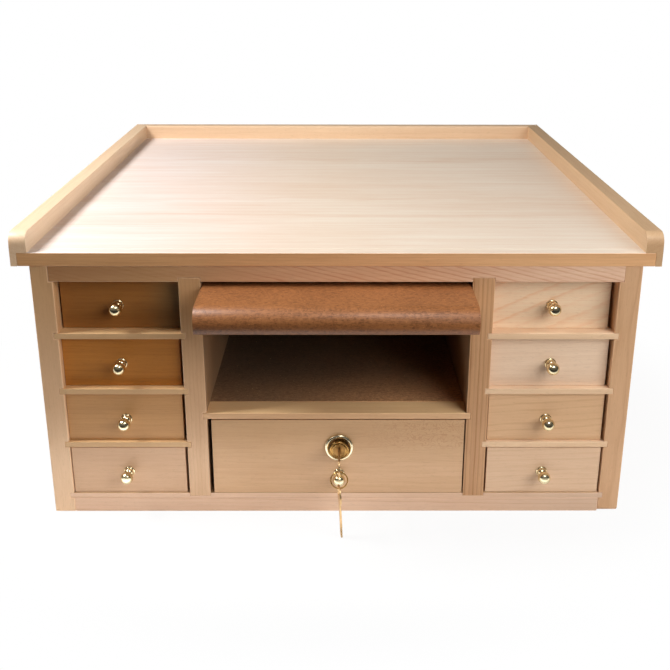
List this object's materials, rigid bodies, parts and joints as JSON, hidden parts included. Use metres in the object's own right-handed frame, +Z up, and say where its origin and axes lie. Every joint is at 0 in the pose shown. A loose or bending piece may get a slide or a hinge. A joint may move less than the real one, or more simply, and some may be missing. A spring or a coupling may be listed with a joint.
{
  "type": "jewelers bench",
  "caption": "Bench-top jewelers workbench: railed wooden worktop over two banks of small drawers, a pull-out catch tray, an open storage bay and a lockable drawer.",
  "frame": {"origin": "on the ground, under the middle of the whole part's box, catch tray included", "axes": "+X to the right seen from the front, -Y out of the front where the drawers open, +Z up"},
  "size_m": [0.605, 0.675, 0.294],
  "materials": {
    "worktop_wood": "pale maple, oiled, satin",
    "lipping_wood": "straight-grained wood, olive tan, satin",
    "rail_wood": "pale beech, satin",
    "carcase_wood": "beech, pinkish tan, satin",
    "front_wood": "beech, pinkish tan, satin",
    "drawer_wood": "plain pale softwood, unfinished",
    "plywood": "thin birch plywood, unfinished",
    "hardboard": "tempered hardboard, reddish brown, semi-gloss",
    "knob_brass": "polished",
    "lock_brass": "polished, slightly dulled",
    "lock_steel": "zinc plated",
    "key_brass": "nickel-tinged brass, worn",
    "ring_steel": "plated wire"
  },
  "bodies": {
    "bench": {"worktop_panel": "worktop_wood", "worktop_lipping": "lipping_wood", "worktop_rail_left": "rail_wood", "worktop_rail_right": "rail_wood", "worktop_rail_back": "rail_wood", "side_left": "carcase_wood", "side_right": "carcase_wood", "divider_left": "carcase_wood", "divider_right": "carcase_wood", "top_front_rail": "carcase_wood", "top_back_rail": "carcase_wood", "shelves_left": "carcase_wood", "shelves_right": "carcase_wood", "bottom_board": "plywood", "bottom_front_rail": "carcase_wood", "back_panel": "plywood", "storage_nosing": "carcase_wood", "storage_floor": "hardboard", "tray_runners": "drawer_wood"},
    "tray": {"tray_apron": "hardboard", "tray_frame": "drawer_wood", "tray_floor": "hardboard"},
    "drawer_left_a": {"drawer_left_a_front": "front_wood", "drawer_left_a_box": "drawer_wood", "drawer_left_a_knob": "knob_brass"},
    "drawer_left_b": {"drawer_left_b_front": "front_wood", "drawer_left_b_box": "drawer_wood", "drawer_left_b_knob": "knob_brass"},
    "drawer_left_c": {"drawer_left_c_front": "front_wood", "drawer_left_c_box": "drawer_wood", "drawer_left_c_knob": "knob_brass"},
    "drawer_left_d": {"drawer_left_d_front": "front_wood", "drawer_left_d_box": "drawer_wood", "drawer_left_d_knob": "knob_brass"},
    "drawer_right_a": {"drawer_right_a_front": "front_wood", "drawer_right_a_box": "drawer_wood", "drawer_right_a_knob": "knob_brass"},
    "drawer_right_b": {"drawer_right_b_front": "front_wood", "drawer_right_b_box": "drawer_wood", "drawer_right_b_knob": "knob_brass"},
    "drawer_right_c": {"drawer_right_c_front": "front_wood", "drawer_right_c_box": "drawer_wood", "drawer_right_c_knob": "knob_brass"},
    "drawer_right_d": {"drawer_right_d_front": "front_wood", "drawer_right_d_box": "drawer_wood", "drawer_right_d_knob": "knob_brass"},
    "large_drawer": {"large_drawer_front": "front_wood", "large_drawer_side_left": "drawer_wood", "large_drawer_side_right": "drawer_wood", "large_drawer_back": "drawer_wood", "large_drawer_bottom": "hardboard", "large_drawer_knob": "knob_brass", "lock_barrel": "lock_brass", "lock_ring_plate": "lock_brass", "lock_nut": "lock_steel"},
    "lock": {"lock_plug": "lock_brass", "lock_cam": "lock_steel"},
    "key": {"key": "key_brass"},
    "key_ring": {"key_ring": "ring_steel"},
    "spare_key": {"spare_key": "key_brass"}
  },
  "joints": [
    {"name": "drawer_left_a_slide", "type": "slide", "parent": "bench", "child": "drawer_left_a", "axis": [0, -1, 0], "range_m": [0, 0.3]},
    {"name": "drawer_left_b_slide", "type": "slide", "parent": "bench", "child": "drawer_left_b", "axis": [0, -1, 0], "range_m": [0, 0.3]},
    {"name": "drawer_left_c_slide", "type": "slide", "parent": "bench", "child": "drawer_left_c", "axis": [0, -1, 0], "range_m": [0, 0.3]},
    {"name": "drawer_left_d_slide", "type": "slide", "parent": "bench", "child": "drawer_left_d", "axis": [0, -1, 0], "range_m": [0, 0.3]},
    {"name": "drawer_right_a_slide", "type": "slide", "parent": "bench", "child": "drawer_right_a", "axis": [0, -1, 0], "range_m": [0, 0.3]},
    {"name": "drawer_right_b_slide", "type": "slide", "parent": "bench", "child": "drawer_right_b", "axis": [0, -1, 0], "range_m": [0, 0.3]},
    {"name": "drawer_right_c_slide", "type": "slide", "parent": "bench", "child": "drawer_right_c", "axis": [0, -1, 0], "range_m": [0, 0.3]},
    {"name": "drawer_right_d_slide", "type": "slide", "parent": "bench", "child": "drawer_right_d", "axis": [0, -1, 0], "range_m": [0, 0.3]},
    {"name": "large_drawer_slide", "type": "slide", "parent": "bench", "child": "large_drawer", "axis": [0, -1, 0], "range_m": [0, 0.36]},
    {"name": "tray_slide", "type": "slide", "parent": "bench", "child": "tray", "axis": [0, -1, 0], "range_m": [0, 0.26]},
    {"name": "lock_turn", "type": "hinge", "parent": "large_drawer", "child": "lock", "pos_m": [0.0024, -0.2715, 0.0728], "axis": [0, 1, 0], "range_deg": [0, 90]},
    {"name": "key_slide", "type": "slide", "parent": "lock", "child": "key", "axis": [0, -1, 0], "range_m": [0, 0.013]},
    {"name": "key_ring_swing", "type": "hinge", "parent": "key", "child": "key_ring", "pos_m": [0.0024, -0.3151, 0.0697], "axis": [1, 0, 0], "range_deg": [-60, 20]},
    {"name": "spare_key_swing", "type": "hinge", "parent": "key_ring", "child": "spare_key", "pos_m": [0.0024, -0.31843, 0.05405], "axis": [1, 0, 0], "range_deg": [-60, 20]}
  ]
}
